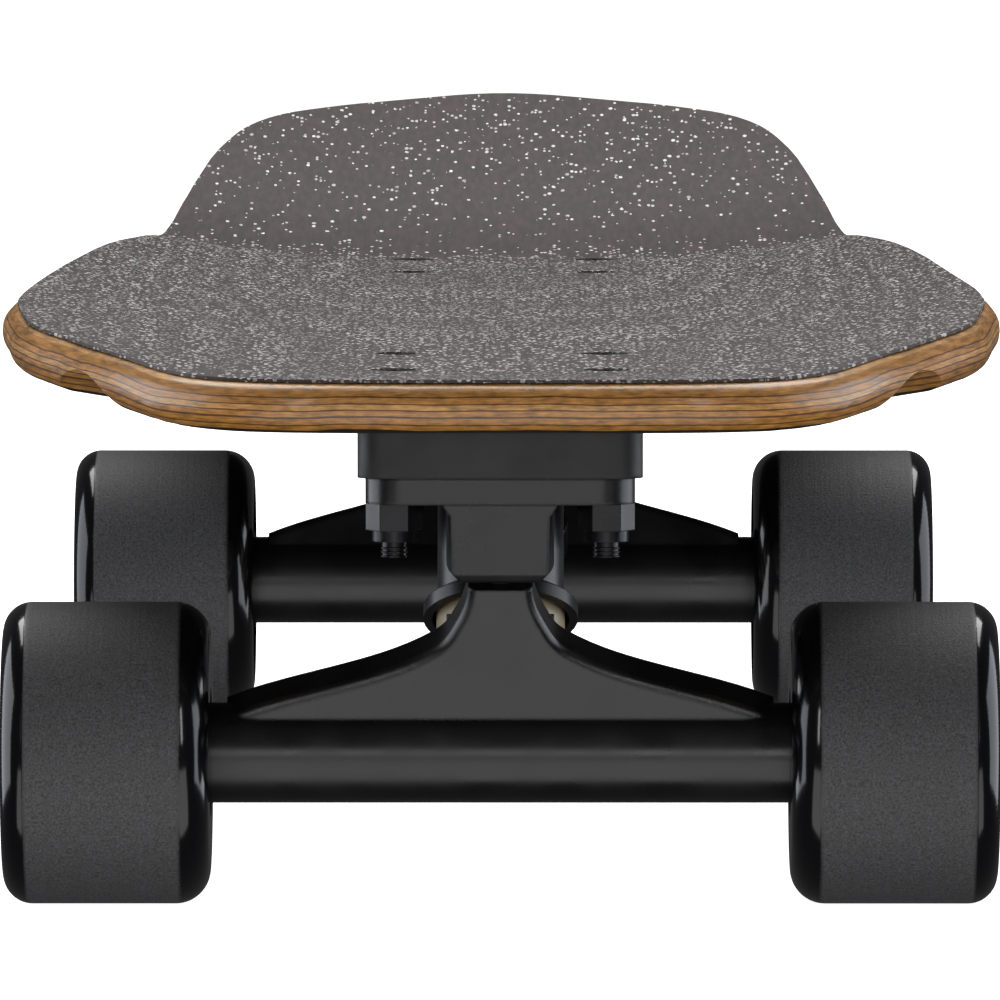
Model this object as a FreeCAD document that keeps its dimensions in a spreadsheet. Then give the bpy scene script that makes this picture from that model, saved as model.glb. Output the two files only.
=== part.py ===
# Electric skateboard: a kicktail deck on two traditional-kingpin trucks, hub motors in the rear wheels
# and a slim battery and controller tray under the deck.
# Frame: +Z up from the floor, nose towards -Y, origin on the floor under the middle of the deck.
import FreeCAD, Part
import Sketcher
import math
import os
from FreeCAD import Placement, Rotation, Vector

# --------------------------------------------------------------------------- driving dimensions (mm)
DIMENSIONS = {
    # deck
    "deck_length": 686.0, "deck_half_width": 101.2, "deck_thickness": 9.7, "deck_underside": 94.7,
    "grip_thickness": 0.6, "grip_margin": 3.0, "rail_radius": 4.4, "rear_drop": 3.0,
    "dish_flat": 20.0, "dish_rate": 0.00119, "dish_gain": 0.6, "nose_fade": 40.0, "nose_lift": 0.9,
    "kick_start": 181.0, "kick_blend": 70.0, "kick_slope": 0.2528,
    "well_radius": 32.0, "well_tilt": 18.0, "well_inner": 54.0, "well_floor": 95.6, "well_shift": 6.0,
    # truck fixing pattern and its fasteners
    "front_holes": -267.5, "rear_holes": 148.5, "hole_pitch_x": 41.3, "hole_pitch_y": 54.0,
    "bolt_radius": 2.4, "bolt_hole_radius": 2.65, "bolt_head_radius": 4.35, "bolt_head_height": 2.6,
    "bolt_length": 36.4, "nut_across": 9.6, "nut_height": 7.9,
    # risers and base plates
    "riser_width": 55.4, "riser_length": 84.0, "plate_width": 52.4, "plate_length": 81.0,
    "plate_thickness": 5.2, "plate_top": 84.7,
    # truck geometry: outward distance from the hole pattern's centre, and height above the floor
    "axle_out": 18.0, "axle_height": 29.5, "pivot_out": 30.0, "pivot_height": 71.0,
    "ring_out": -10.2, "ring_height": 42.0, "kingpin_lean": 28.0, "stem_rise": 62.0,
    # hanger
    "beam_radius": 9.8, "hanger_half": 59.5, "web_thickness": 11.5, "web_rise": 68.3, "web_round": 2.4,
    "ring_radius": 14.5, "ring_half": 3.5, "ring_hole": 7.5, "seat_radius": 12.95, "seat_depth": 1.2,
    "pivot_ball": 5.2, "stem_radius": 6.2,
    # pivot cup and kingpin stack, measured along the kingpin from the ring's centre
    "cup_radius": 6.8, "cup_boss": 10.5, "kingpin_radius": 4.75, "kingpin_end": -24.3,
    "kingpin_head": 37.5, "kingpin_head_height": 5.5, "kingpin_across": 14.3, "kingpin_nut_height": 8.0,
    "bushing_radius": 12.7, "bushing_bore": 4.9, "board_bushing": 12.2, "road_bushing": 11.0,
    "road_bushing_tip": 10.2, "board_washer_radius": 15.3, "road_washer_radius": 11.0,
    "washer_thickness": 1.5, "washer_rim": 2.1,
    # wheels and bearings, measured out from each wheel's inner face
    "wheel_radius": 29.5, "wheel_width": 40.8, "wheel_inner": 56.6, "inner_shoulder": 6.8,
    "outer_shoulder": 5.7, "crown": 0.5, "axle_radius": 4.0, "hanger_step": 2.9, "bearing_width": 7.0,
    "bearing_radius": 11.0, "bearing_ring": 1.5, "bearing_gap": 10.0, "core_radius": 16.0,
    "inner_recess": 12.6, "outer_recess": 13.5, "washer_gap": 1.0, "axle_nut_across": 12.7,
    "axle_nut_height": 6.0,
    # hub motors
    "can_radius": 22.5, "can_wall": 1.6, "magnet_depth": 1.9, "air_gap": 0.5, "stator_start": 13.0,
    "stator_length": 11.5, "stator_bore": 7.0, "motor_gap": 15.5, "motor_nut_height": 4.4,
    # battery and controller tray
    "tray_half_width": 58.0, "flange_width": 9.0, "flange_thickness": 3.0, "tray_wall": 2.0,
    "gasket_thickness": 1.0, "battery_start": -46.0, "battery_end": 98.0, "battery_floor": 76.9,
    "control_start": -116.0, "control_floor": 81.4, "cell_thickness": 5.7, "cell_width": 27.4,
    "cell_length": 110.0, "button_radius": 2.4, "button_travel": 1.2, "port_radius": 2.75,
}

# Half of the deck's outline from nose to tail, as shares of the half width and half length.
OUTLINE = [
    (0.0, -1.0), (0.198, -1.0), (0.356, -0.9956), (0.494, -0.9825), (0.578, -0.9665), (0.642, -0.9475),
    (0.692, -0.924), (0.741, -0.895), (0.79, -0.86), (0.85, -0.81), (0.929, -0.746), (0.973, -0.638),
    (0.998, -0.528), (1.0, -0.48), (0.989, -0.308), (0.933, 0.023), (0.89, 0.224), (0.864, 0.317),
    (0.807, 0.49), (0.789, 0.611), (0.768, 0.68), (0.747, 0.735), (0.721, 0.785), (0.692, 0.832),
    (0.66, 0.868), (0.624, 0.8985), (0.586, 0.919), (0.543, 0.9355), (0.5, 0.947), (0.442, 0.9585),
    (0.36, 0.9718), (0.28, 0.9805), (0.19, 0.9893), (0.1, 0.9968), (0.0, 1.0),
]
WAIST = 14
# Upper edge of the hanger's web: distance from the middle, and height up the web from the axle.
WEB_EDGE = [
    (53.4, 10.1), (42.4, 14.0), (30.2, 17.5), (19.4, 21.3), (13.7, 24.2), (11.0, 26.2), (9.2, 29.0),
    (7.6, 32.2), (6.3, 37.8),
]
MAGNETS = 14
TEETH = 12
FRONT, REAR = "front", "rear"
SIDES = {"right": -1.0, "left": 1.0}

doc = FreeCAD.newDocument("electric_skateboard")
sheet = doc.addObject("Spreadsheet::Sheet", "Sizes")
pieces = {}


class Length:
    """A length that carries its value and the spreadsheet formula it comes from."""

    def __init__(self, value, formula):
        self.value = value
        self.formula = formula

    @staticmethod
    def of(other):
        if isinstance(other, Length):
            return other
        return Length(float(other), repr(float(other)))

    def _join(self, other, sign, value):
        return Length(value, "(%s %s %s)" % (self.formula, sign, Length.of(other).formula))

    def __add__(self, other):
        return self._join(other, "+", self.value + Length.of(other).value)

    def __sub__(self, other):
        return self._join(other, "-", self.value - Length.of(other).value)

    def __mul__(self, other):
        return self._join(other, "*", self.value * Length.of(other).value)

    def __truediv__(self, other):
        return self._join(other, "/", self.value / Length.of(other).value)

    def __float__(self):
        return self.value


def fill_sheet():
    """Put every driving dimension in the spreadsheet under its own alias."""
    for row, (alias, value) in enumerate(DIMENSIONS.items(), start=1):
        sheet.set("A%d" % row, alias)
        sheet.set("B%d" % row, str(value))
        sheet.setAlias("B%d" % row, alias)
    doc.recompute()


def size(alias):
    """The named cell as a Length, for binding a property."""
    return Length(float(sheet.get(alias)), "Sizes." + alias)


def mm(alias):
    """The named cell as a plain number."""
    return float(sheet.get(alias))


# --------------------------------------------------------------------------- building blocks
def bind(obj, **sizes):
    for name, length in sizes.items():
        length = Length.of(length)
        setattr(obj, name, length.value)
        obj.setExpression(name, length.formula)
    return obj


def along(base, direction):
    """A placement whose local Z runs along the direction."""
    return Placement(Vector(*base), Rotation(Vector(0, 0, 1), Vector(*direction)))


def cylinder(name, radius, height, place=None):
    obj = bind(doc.addObject("Part::Cylinder", name), Radius=radius, Height=height)
    obj.Placement = place or Placement()
    return obj


def cone(name, radius, end_radius, height, place=None):
    obj = bind(doc.addObject("Part::Cone", name), Radius1=radius, Radius2=end_radius, Height=height)
    obj.Placement = place or Placement()
    return obj


def prism(name, across, height, place=None):
    """A hexagon by its width across flats."""
    obj = doc.addObject("Part::Prism", name)
    obj.Polygon = 6
    bind(obj, Circumradius=across / math.sqrt(3.0), Height=height)
    obj.Placement = place or Placement()
    return obj


def box(name, length, width, height, corner):
    obj = bind(doc.addObject("Part::Box", name), Length=length, Width=width, Height=height)
    obj.Placement = Placement(Vector(*corner), Rotation())
    return obj


def centred_box(name, length, width, height, middle):
    """A box by its three sizes and the middle of its underside."""
    length, width = Length.of(length), Length.of(width)
    corner = (middle[0] - length.value / 2, middle[1] - width.value / 2, middle[2])
    return box(name, length, width, height, corner)


def fused(name, shapes):
    obj = doc.addObject("Part::MultiFuse", name)
    obj.Shapes = shapes
    obj.Refine = True
    return obj


def common(name, first, second):
    obj = doc.addObject("Part::MultiCommon", name)
    obj.Shapes = [first, second]
    return obj


def cut(name, base, tools):
    obj = doc.addObject("Part::Cut", name)
    obj.Base = base
    obj.Tool = tools[0] if len(tools) == 1 else fused(name + "_tools", tools)
    return obj


def solid(name, shape):
    obj = doc.addObject("Part::Feature", name)
    obj.Shape = shape
    return obj


def copies(name, source, places):
    """A group of separate solids, each the source's shape at one place."""
    doc.recompute()
    shapes = []
    for place in places:
        shape = source.Shape.copy()
        shape.Placement = place.multiply(shape.Placement)
        shapes.append(shape)
    return solid(name, Part.makeCompound(shapes))


def publish(name, obj):
    """Name the object as a sub-part that is written out."""
    obj.Label = name
    pieces[name] = obj
    return obj


def origin_plane(body, role):
    return next(item for item in body.Origin.OriginFeatures if item.Role == role)


def outline_sketch(body, name, role, corners):
    """A closed sketch of straight lines, each corner held by two dimensions from the origin."""
    sketch = body.newObject("Sketcher::SketchObject", name)
    sketch.AttachmentSupport = [(origin_plane(body, role), "")]
    sketch.MapMode = "FlatFace"
    points = [(Length.of(a), Length.of(b)) for a, b in corners]
    vectors = [Vector(a.value, b.value, 0) for a, b in points]
    for index, start in enumerate(vectors):
        sketch.addGeometry(Part.LineSegment(start, vectors[(index + 1) % len(vectors)]), False)
    for index in range(len(vectors)):
        following = (index + 1) % len(vectors)
        sketch.addConstraint(Sketcher.Constraint("Coincident", index, 2, following, 1))
    for index, point in enumerate(points):
        for kind, length in zip(("DistanceX", "DistanceY"), point):
            if abs(length.value) < 1e-9:
                other = "PointOnObject"
                axis = -2 if kind == "DistanceX" else -1
                sketch.addConstraint(Sketcher.Constraint(other, index, 1, axis))
                continue
            if length.value < 0:
                held = Sketcher.Constraint(kind, index, 1, -1, 1, -length.value)
                formula = "-(%s)" % length.formula
            else:
                held = Sketcher.Constraint(kind, -1, 1, index, 1, length.value)
                formula = length.formula
            number = sketch.addConstraint(held)
            sketch.setExpression("Constraints[%d]" % number, formula)
    return sketch


def turned(name, corners):
    """A body turned about its own Z axis from corners given as (radius, height)."""
    body = doc.addObject("PartDesign::Body", name)
    sketch = outline_sketch(body, name + "_outline", "XZ_Plane", corners)
    turn = body.newObject("PartDesign::Revolution", name + "_turn")
    turn.Profile = sketch
    turn.ReferenceAxis = (sketch, ["V_Axis"])
    turn.Angle = 360.0
    sketch.Visibility = False
    doc.recompute()
    return body


def padded(name, role, corners, length):
    """A body padded both ways from an outline on one of its origin planes."""
    body = doc.addObject("PartDesign::Body", name)
    sketch = outline_sketch(body, name + "_outline", role, corners)
    pad = body.newObject("PartDesign::Pad", name + "_pad")
    pad.Profile = sketch
    pad.Midplane = True
    bind(pad, Length=length)
    doc.recompute()
    return body


def round_edges(body, name, radius, wanted):
    """Fillet the edges of a body's tip that the test picks out."""
    tip = body.Tip
    names = ["Edge%d" % (n + 1) for n, edge in enumerate(tip.Shape.Edges) if wanted(edge)]
    fillet = body.newObject("PartDesign::Fillet", name)
    fillet.Base = (tip, names)
    bind(fillet, Radius=radius)
    doc.recompute()
    return body


def hole_centres(end):
    """The four truck bolt positions at one end of the deck."""
    middle = mm(end + "_holes")
    half_x, half_y = mm("hole_pitch_x") / 2, mm("hole_pitch_y") / 2
    return [(sx * half_x, middle + sy * half_y) for sx in (-1, 1) for sy in (-1, 1)]


# --------------------------------------------------------------------------- deck
def smooth_step(value):
    value = min(1.0, max(0.0, value))
    return value * value * (3.0 - 2.0 * value)


def deck_lift(x, y):
    """Height of the deck's surface above its flat front platform."""
    half = mm("deck_length") / 2
    drop = mm("rear_drop") * smooth_step((y - mm("front_holes") - 27.0) / 362.0)
    side = max(0.0, abs(x) - mm("dish_flat"))
    deeper = 1.0 + mm("dish_gain") * smooth_step((y + 150.0) / 260.0) * smooth_step((220.0 - y) / 80.0)
    dish = mm("dish_rate") * deeper * side * side * smooth_step((y + half) / mm("nose_fade"))
    nose = mm("nose_lift") * (max(0.0, 43.0 - y - half) / 43.0) ** 2
    past = y - mm("kick_start")
    blend = mm("kick_blend")
    if past <= 0:
        kick = 0.0
    elif past < blend:
        kick = mm("kick_slope") * past * past / (2 * blend)
    else:
        kick = mm("kick_slope") * (past - blend / 2)
    return dish + nose + kick - drop


def deck_layer(bottom, thickness):
    """A layer that follows the deck, from bottom above its underside and as thick as given."""
    across = [-112.0 + 16.0 * n for n in range(15)]
    lengthways = [-352.0 + 16.0 * n for n in range(45)]
    base = mm("deck_underside") + bottom
    points = [[Vector(x, y, base + deck_lift(x, y)) for y in lengthways] for x in across]
    surface = Part.BSplineSurface()
    surface.interpolate(points)
    return surface.toShape().extrude(Vector(0, 0, thickness))


def deck_outline(inset=0.0):
    """The deck's outline seen from above, in a left and a right half."""
    half_width, half_length = mm("deck_half_width") - inset, mm("deck_length") / 2 - inset
    right = [(a * half_width, b * half_length) for a, b in OUTLINE]
    left = [(-x, y) for x, y in reversed(right[1:-1])]
    around = right[WAIST:] + left + right[:WAIST]
    curve = Part.BSplineCurve()
    curve.interpolate(Points=[Vector(x, y, 0) for x, y in around], PeriodicFlag=True)
    far_side = curve.parameter(Vector(-right[WAIST][0], right[WAIST][1], 0))
    halves = [curve.copy(), curve.copy()]
    halves[0].segment(curve.FirstParameter, far_side)
    halves[1].segment(far_side, curve.LastParameter)
    return Part.Wire([half.toShape() for half in halves])


def upright(wire, bottom, top):
    """The space inside a flat outline between two heights."""
    face = Part.Face(wire)
    face.translate(Vector(0, 0, bottom))
    return face.extrude(Vector(0, 0, top - bottom))


def bolt_cutters():
    """Clearance holes for the truck bolts, each opening out for the countersunk head."""
    hole, head, height = mm("bolt_hole_radius"), mm("bolt_head_radius"), mm("bolt_head_height")
    flare = (head - mm("bolt_radius")) / height
    shapes = []
    for end in (FRONT, REAR):
        rim = deck_top(end) - mm("grip_thickness") - 0.4
        depth = deck_top(end) - 0.15 - rim
        mouth = head - flare * depth + 0.12
        seat = rim - (mouth - hole) / flare
        corners = [(0, 60.0), (hole, 60.0), (hole, seat), (mouth, rim), (head + 0.12, rim),
                   (head + 0.12, rim + 9.0), (0, rim + 9.0)]
        for x, y in hole_centres(end):
            points = [Vector(x + out, y, level) for out, level in corners]
            face = Part.Face(Part.makePolygon(points + [points[0]]))
            shapes.append(face.revolve(Vector(x, y, 0), Vector(0, 0, 1), 360))
    return shapes


def wheel_wells():
    """Tilted drums that scoop the rail over each wheel."""
    radius, tilt = mm("well_radius"), math.radians(mm("well_tilt"))
    shapes = []
    for end in (FRONT, REAR):
        for side in SIDES.values():
            drop = mm("rear_drop") if end == REAR else 0.0
            run = Vector(side * math.cos(tilt), 0, math.sin(tilt))
            down = Vector(side * math.sin(tilt), 0, -math.cos(tilt)) * radius
            middle = axle_y(end) + (mm("well_shift") if end == REAR else -mm("well_shift"))
            start = Vector(side * mm("well_inner"), middle, mm("well_floor") - drop) + down
            shapes.append(Part.makeCylinder(radius, 90.0, start - run * 20.0, run))
    return shapes


def deck_top(end):
    """Height of the grip's surface at one end's bolt pattern."""
    drop = mm("rear_drop") if end == REAR else 0.0
    return mm("deck_underside") - drop + mm("deck_thickness") + mm("grip_thickness")


def build_deck():
    outline = deck_outline()
    slab = deck_layer(0.0, mm("deck_thickness"))
    blank = slab.common(upright(outline, 60.0, 180.0)).Solids[0]
    long_edges = [edge for edge in blank.Edges if edge.Length > 300.0]
    rounded = blank.makeFillet(mm("rail_radius"), long_edges).Solids[0]
    board = rounded
    for cutter in bolt_cutters() + insert_cutters() + wheel_wells():
        board = board.cut(cutter)
    publish("deck_board", solid("DeckBoard", board))
    inner = upright(deck_outline(mm("grip_margin")), 60.0, 180.0)
    coat = deck_layer(mm("deck_thickness"), mm("grip_thickness")).common(inner).Solids[0]
    discs = [Part.makeCylinder(mm("bolt_head_radius") + 0.25, 60.0, Vector(x, y, 80.0))
             for end in (FRONT, REAR) for x, y in hole_centres(end)]
    publish("grip_coat", solid("GripCoat", coat.cut(discs)))


# --------------------------------------------------------------------------- risers, plates, fasteners
def axle_y(end):
    way = -1.0 if end == FRONT else 1.0
    return mm(end + "_holes") + way * mm("axle_out")


def truck_frame(end):
    """Placement of a truck drawn with its outward side towards -Y."""
    turn = 0.0 if end == FRONT else 180.0
    return Placement(Vector(0, mm(end + "_holes"), 0), Rotation(Vector(0, 0, 1), turn))


def local(out, height, x=0.0):
    """A point of the truck's own frame."""
    return Vector(x, -out, height)


def lean(angle_alias, outward=1.0):
    """Unit vector that rises at the named angle from level, going outward or inward."""
    angle = math.radians(mm(angle_alias))
    return Vector(0, -outward * math.cos(angle), math.sin(angle))


def kingpin_way():
    angle = math.radians(mm("kingpin_lean"))
    return Vector(0, math.sin(angle), math.cos(angle))


def on_kingpin(distance):
    return local(mm("ring_out"), mm("ring_height")) + kingpin_way() * distance


def kingpin_place(distance):
    return Placement(on_kingpin(distance), Rotation(Vector(0, 0, 1), kingpin_way()))


def pivot_point():
    return local(mm("pivot_out"), mm("pivot_height"))


def pattern_holes(name, bottom, height):
    """Cutters for the four bolts in the truck's own frame."""
    half_x, half_y = mm("hole_pitch_x") / 2, mm("hole_pitch_y") / 2
    return [
        cylinder("%s_%d" % (name, n), size("bolt_hole_radius"), height,
                 Placement(Vector(sx * half_x, sy * half_y, bottom), Rotation()))
        for n, (sx, sy) in enumerate([(-1, -1), (1, -1), (1, 1), (-1, 1)])
    ]


def rounded_plate(name, width, length, height, radius):
    """A flat plate with its upright edges rounded, as a body."""
    half_w, half_l = width / 2, length / 2
    corners = [(half_w * -1, half_l * -1), (half_w, half_l * -1), (half_w, half_l), (half_w * -1, half_l)]
    body = doc.addObject("PartDesign::Body", name)
    sketch = outline_sketch(body, name + "_outline", "XY_Plane", corners)
    pad = body.newObject("PartDesign::Pad", name + "_pad")
    pad.Profile = sketch
    bind(pad, Length=height)
    doc.recompute()

    def upright_edge(edge):
        ends = [vertex.Point for vertex in edge.Vertexes]
        return len(ends) == 2 and abs(ends[0].x - ends[1].x) + abs(ends[0].y - ends[1].y) < 1e-6

    return round_edges(body, name + "_corners", radius, upright_edge)


def build_riser(end):
    drop = mm("rear_drop") if end == REAR else 0.0
    height = size("deck_underside") - size("plate_top") - drop - 0.04
    name = end + "_riser"
    block = rounded_plate(name + "_block", size("riser_width"), size("riser_length"), height, 5.0)
    block.Placement = Placement(Vector(0, 0, mm("plate_top")), Rotation())
    riser = cut(name, block, pattern_holes(name + "_hole", mm("plate_top") - 1.0, height + 2.0))
    riser.Placement = truck_frame(end)
    publish(end + "_riser_pad", riser)


def side_profile(name, corners, half_width):
    """A block drawn from the side as (outward, height) corners, and as wide each way as given."""
    points = [local(out, height, -half_width) for out, height in corners]
    wire = Part.makePolygon(points + [points[0]])
    return solid(name, Part.Face(wire).extrude(Vector(2 * half_width, 0, 0)))


def front_profile(name, corners, inner, outer):
    """A block drawn from the front as (x, height) corners, between two outward distances."""
    points = [local(inner, height, x) for x, height in corners]
    wire = Part.makePolygon(points + [points[0]])
    return solid(name, Part.Face(wire).extrude(Vector(0, inner - outer, 0)))


def build_baseplate(end):
    """Base plate with the pivot housing at its outer end and the kingpin's boss at its inner end."""
    name = end + "_plate"
    top, thick = mm("plate_top"), mm("plate_thickness")
    under = top - thick
    plate = rounded_plate(name + "_flat", size("plate_width"), size("plate_length"),
                          size("plate_thickness"), 7.0)
    plate.Placement = Placement(Vector(0, 0, under), Rotation())
    stem = lean("stem_rise")
    pivot = pivot_point()
    side = side_profile(name + "_side", [
        (39.8, under + 1.0), (39.8, 66.0), (38.8, 64.6), (37.4, 64.2), (34.6, 64.4), (20.1, 71.6),
        (8.0, under + 1.0),
    ], 13.0)
    front = front_profile(name + "_front", [
        (-7.8, 60.0), (7.8, 60.0), (7.8, 64.5), (9.3, 66.0), (9.6, under - 2.3), (12.1, under + 1.0),
        (-12.1, under + 1.0), (-9.6, under - 2.3), (-9.3, 66.0), (-7.8, 64.5),
    ], 6.0, 40.0)
    housing = common(name + "_housing", side, front)
    boss_bar = cylinder(name + "_boss_bar", size("cup_boss"), 20.0,
                        Placement(pivot - stem * 9.0, Rotation(Vector(0, 0, 1), stem)))
    room = side_profile(name + "_boss_room", [
        (38.6, under + 1.0), (38.6, 66.0), (37.4, 64.3), (34.6, 64.5), (17.0, 73.2), (8.0, under + 1.0),
    ], 13.0)
    cup_boss = common(name + "_cup_boss", boss_bar, room)
    web = side_profile(name + "_web", [
        (20.0, under + 1.0), (20.0, 73.5), (0.0, 71.0), (-12.0, 62.0), (-26.0, 68.0), (-36.0, under + 1.0),
    ], 8.5)
    boss = cylinder(name + "_boss", 12.5, 24.5, kingpin_place(16.0))
    body = fused(name + "_body", [plate, housing, cup_boss, web, boss])
    tools = pattern_holes(name + "_hole", under - 6.0, 14.0)
    tools.append(cylinder(name + "_cup_hole", size("cup_radius"), 10.6,
                          Placement(pivot - stem * 5.0, Rotation(Vector(0, 0, 1), stem))))
    tools.append(cylinder(name + "_pin_hole", size("kingpin_radius") + 0.05, 60.0, kingpin_place(8.0)))
    tools.append(cylinder(name + "_head_hole", 8.6, 24.0, kingpin_place(mm("kingpin_head"))))
    trimmed = common(name + "_trimmed", body,
                     centred_box(name + "_limit", 80.0, 120.0, top - 40.0, (0, 0, 40.0)))
    plate = cut(name + "_finished", trimmed, tools)
    plate.Placement = truck_frame(end)
    publish(end + "_baseplate", plate)


def build_pivot_cups():
    """Moulded cup that holds the hanger's ball."""
    stem = lean("stem_rise")
    frame = Placement(pivot_point(), Rotation(Vector(0, 0, 1), stem))
    body = cylinder("cup_body", size("cup_radius"), 9.4, frame.multiply(Placement(Vector(0, 0, -3.9), Rotation())))
    ball = doc.addObject("Part::Sphere", "cup_ball")
    bind(ball, Radius=size("pivot_ball") + 0.05)
    ball.Placement = frame
    mouth = cone("cup_mouth", 6.35, 5.2, 4.2, frame.multiply(Placement(Vector(0, 0, -4.1), Rotation())))
    cup = cut("pivot_cup", body, [ball, mouth])
    publish("pivot_cups", copies("pivot_cups_pair", cup, [truck_frame(end) for end in (FRONT, REAR)]))


def build_kingpins():
    shank_length = size("kingpin_head") - size("kingpin_end")
    shank = cylinder("kingpin_shank", size("kingpin_radius"), shank_length, kingpin_place(mm("kingpin_end")))
    head = prism("kingpin_hex", size("kingpin_across"), size("kingpin_head_height"),
                 kingpin_place(mm("kingpin_head")))
    frames = [truck_frame(end) for end in (FRONT, REAR)]
    publish("kingpins", copies("kingpin_pair", fused("kingpin", [shank, head]), frames))
    road_face = -(mm("ring_half") - mm("seat_depth")) - mm("road_bushing")
    board_face = mm("ring_half") - mm("seat_depth") + mm("board_bushing")
    pin_hole = cylinder("washer_hole", size("kingpin_radius") + 0.05, 80.0, kingpin_place(-40.0))
    road = cylinder("road_disc", size("road_washer_radius"), size("washer_thickness"),
                    kingpin_place(road_face - mm("washer_thickness")))
    publish("road_side_washers", copies("road_washer_pair", cut("road_washer", road, [pin_hole]), frames))
    nut_end = road_face - mm("washer_thickness") - mm("kingpin_nut_height")
    nut_hex = prism("kingpin_nut_hex", size("kingpin_across"), size("kingpin_nut_height"), kingpin_place(nut_end))
    nut = cut("kingpin_nut", nut_hex, [pin_hole])
    publish("kingpin_nuts", copies("kingpin_nut_pair", nut, frames))
    dish = turned("board_dish", [
        (size("kingpin_radius") + 0.05, size("washer_rim")),
        (size("board_washer_radius") - 1.7, size("washer_rim")), (size("board_washer_radius") - 1.7, 0.0),
        (size("board_washer_radius"), 0.0), (size("board_washer_radius"), size("washer_rim") + 0.6),
        (size("board_washer_radius") - 1.2, size("washer_rim") + size("washer_thickness")),
        (size("kingpin_radius") + 0.05, size("washer_rim") + size("washer_thickness")),
    ])
    dish.Placement = kingpin_place(board_face - mm("washer_rim"))
    publish("board_side_washers", copies("board_washer_pair", dish, frames))


def build_bushings(end):
    seat = mm("ring_half") - mm("seat_depth")
    bore, outer = size("bushing_bore"), size("bushing_radius")
    board = turned(end + "_board_bushing_body", [
        (bore, 0.0), (outer - 0.8, 0.0), (outer, 0.9), (outer, size("board_bushing") - 0.9),
        (outer - 0.8, size("board_bushing")), (bore, size("board_bushing")),
    ])
    board.Placement = truck_frame(end).multiply(kingpin_place(seat))
    publish(end + "_board_bushing", board)
    tip = size("road_bushing_tip")
    road = turned(end + "_road_bushing_body", [
        (bore, 0.0), (tip - 0.6, 0.0), (tip, 0.8), (outer, size("road_bushing") - 2.4),
        (outer, size("road_bushing")), (bore, size("road_bushing")),
    ])
    road.Placement = truck_frame(end).multiply(kingpin_place(-seat - mm("road_bushing")))
    publish(end + "_road_bushing", road)


def build_truck_bolts():
    """Countersunk bolts from the top of the deck, each with a locking nut under the base plate."""
    shank = cylinder("bolt_shank", size("bolt_radius"), size("bolt_length"))
    head = cone("bolt_head", size("bolt_radius"), size("bolt_head_radius"), size("bolt_head_height"),
                Placement(Vector(0, 0, mm("bolt_length") - mm("bolt_head_height")), Rotation()))
    slots = []
    for n, (length, width) in enumerate([(5.0, 1.0), (1.0, 5.0)]):
        slots.append(centred_box("bolt_slot_%d" % n, length, width, 2.0, (0, 0, mm("bolt_length") - 1.4)))
    bolt = cut("truck_bolt", fused("bolt_body", [shank, head]), slots)
    bolt_places, nut_places = [], []
    nut_bottom = mm("plate_top") - mm("plate_thickness") - mm("nut_height")
    for end in (FRONT, REAR):
        foot = deck_top(end) - 0.15 - mm("bolt_length")
        for x, y in hole_centres(end):
            bolt_places.append(Placement(Vector(x, y, foot), Rotation()))
            nut_places.append(Placement(Vector(x, y, nut_bottom), Rotation()))
    publish("truck_bolts", copies("truck_bolt_set", bolt, bolt_places))
    collar = cylinder("nut_collar", 4.3, 2.6)
    hexagon = prism("nut_hex", size("nut_across"), size("nut_height") - 2.2,
                    Placement(Vector(0, 0, 2.2), Rotation()))
    bore = cylinder("nut_bore", size("bolt_radius"), 12.0, Placement(Vector(0, 0, -1.0), Rotation()))
    nut = cut("truck_nut", fused("nut_body", [collar, hexagon]), [bore])
    publish("truck_nuts", copies("truck_nut_set", nut, nut_places))


# --------------------------------------------------------------------------- hangers
def web_plate(name):
    """The upright web between the beam and the pivot, its long upper edges rounded."""
    rise = lean("web_rise")
    outward = Vector(0, -rise.z, -abs(rise.y))
    half = mm("web_thickness") / 2
    foot = local(15.7, mm("axle_height"))
    edge = WEB_EDGE + [(-x, up) for x, up in reversed(WEB_EDGE)]

    def at(x, up):
        return foot + Vector(x, 0, 0) + rise * up - outward * half

    right, left = edge[:len(WEB_EDGE)], edge[len(WEB_EDGE):]
    curves = []
    for half_edge in (right, left):
        curve = Part.BSplineCurve()
        curve.interpolate([at(x, up) for x, up in half_edge])
        curves.append(curve.toShape())
    reach = WEB_EDGE[0][0]
    closing = [
        Part.LineSegment(at(*right[-1]), at(*left[0])).toShape(),
        Part.LineSegment(at(*left[-1]), at(-reach, 0.0)).toShape(),
        Part.LineSegment(at(-reach, 0.0), at(reach, 0.0)).toShape(),
        Part.LineSegment(at(reach, 0.0), at(*right[0])).toShape(),
    ]
    wire = Part.Wire(Part.__sortEdges__(curves + closing))
    block = Part.Face(wire).extrude(outward * (2 * half))
    if block.Volume < 0:
        block.reverse()
    curved = [e for e in block.Edges if isinstance(e.Curve, Part.BSplineCurve) and e.Length > 50.0]
    return solid(name, block.makeFillet(mm("web_round"), curved))


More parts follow.
